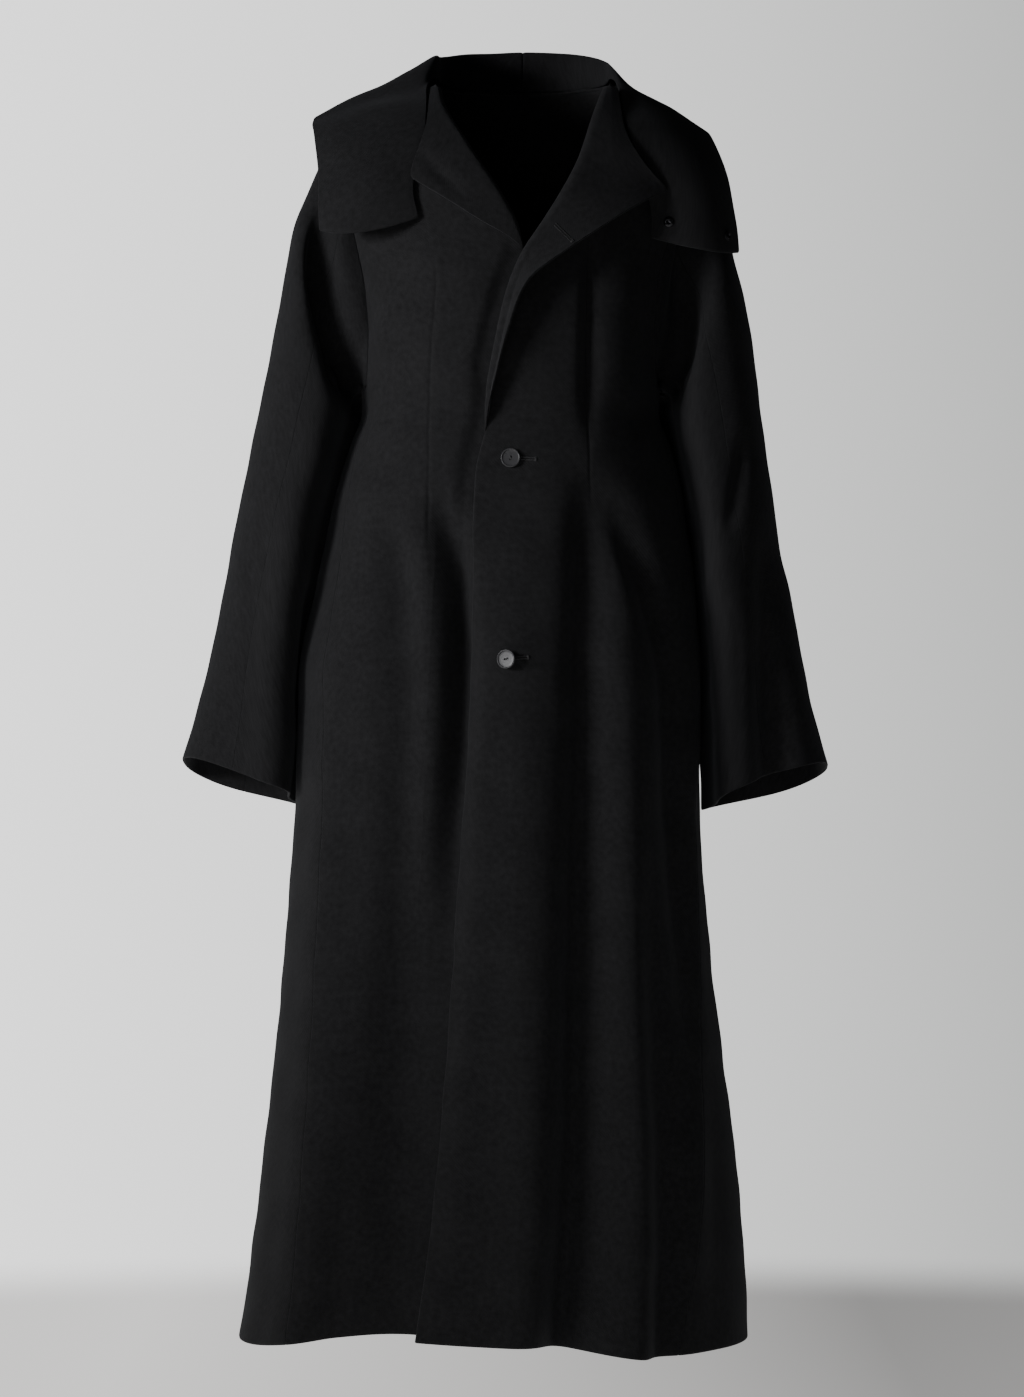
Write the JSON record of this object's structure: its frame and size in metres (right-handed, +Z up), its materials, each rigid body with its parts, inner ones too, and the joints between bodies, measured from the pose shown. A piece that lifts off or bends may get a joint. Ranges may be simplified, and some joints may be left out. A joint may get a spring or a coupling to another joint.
{
  "type": "hooded coat",
  "caption": "Long flared black wool coat with a fitted waist, open lapels, wide straight sleeves and a hood lying open over the shoulders, in the hollow form it has when worn.",
  "frame": {"origin": "where the wearer's shoulders hold the coat, at the base of the neck between the shoulders", "axes": "+Z up, the front faces -Y, +X towards the wearer's left"},
  "size_m": [0.648, 0.4527, 1.2965],
  "materials": {
    "cloth": "matt brushed wool, black",
    "button": "dark grey resin, half gloss",
    "snap": "dark plated metal"
  },
  "bodies": {
    "root": {"front_left": "cloth", "front_right": "cloth", "side_left": "cloth", "side_right": "cloth", "back_left": "cloth", "back_right": "cloth", "sleeve_left_inner": "cloth", "sleeve_left_outer": "cloth", "sleeve_right_inner": "cloth", "sleeve_right_outer": "cloth", "hood_left": "cloth", "hood_right": "cloth", "lapel_left": "cloth", "lapel_right": "cloth", "button_upper": "button", "button_lower": "button", "snap_inner": "snap", "snap_outer": "snap"}
  },
  "joints": []
}
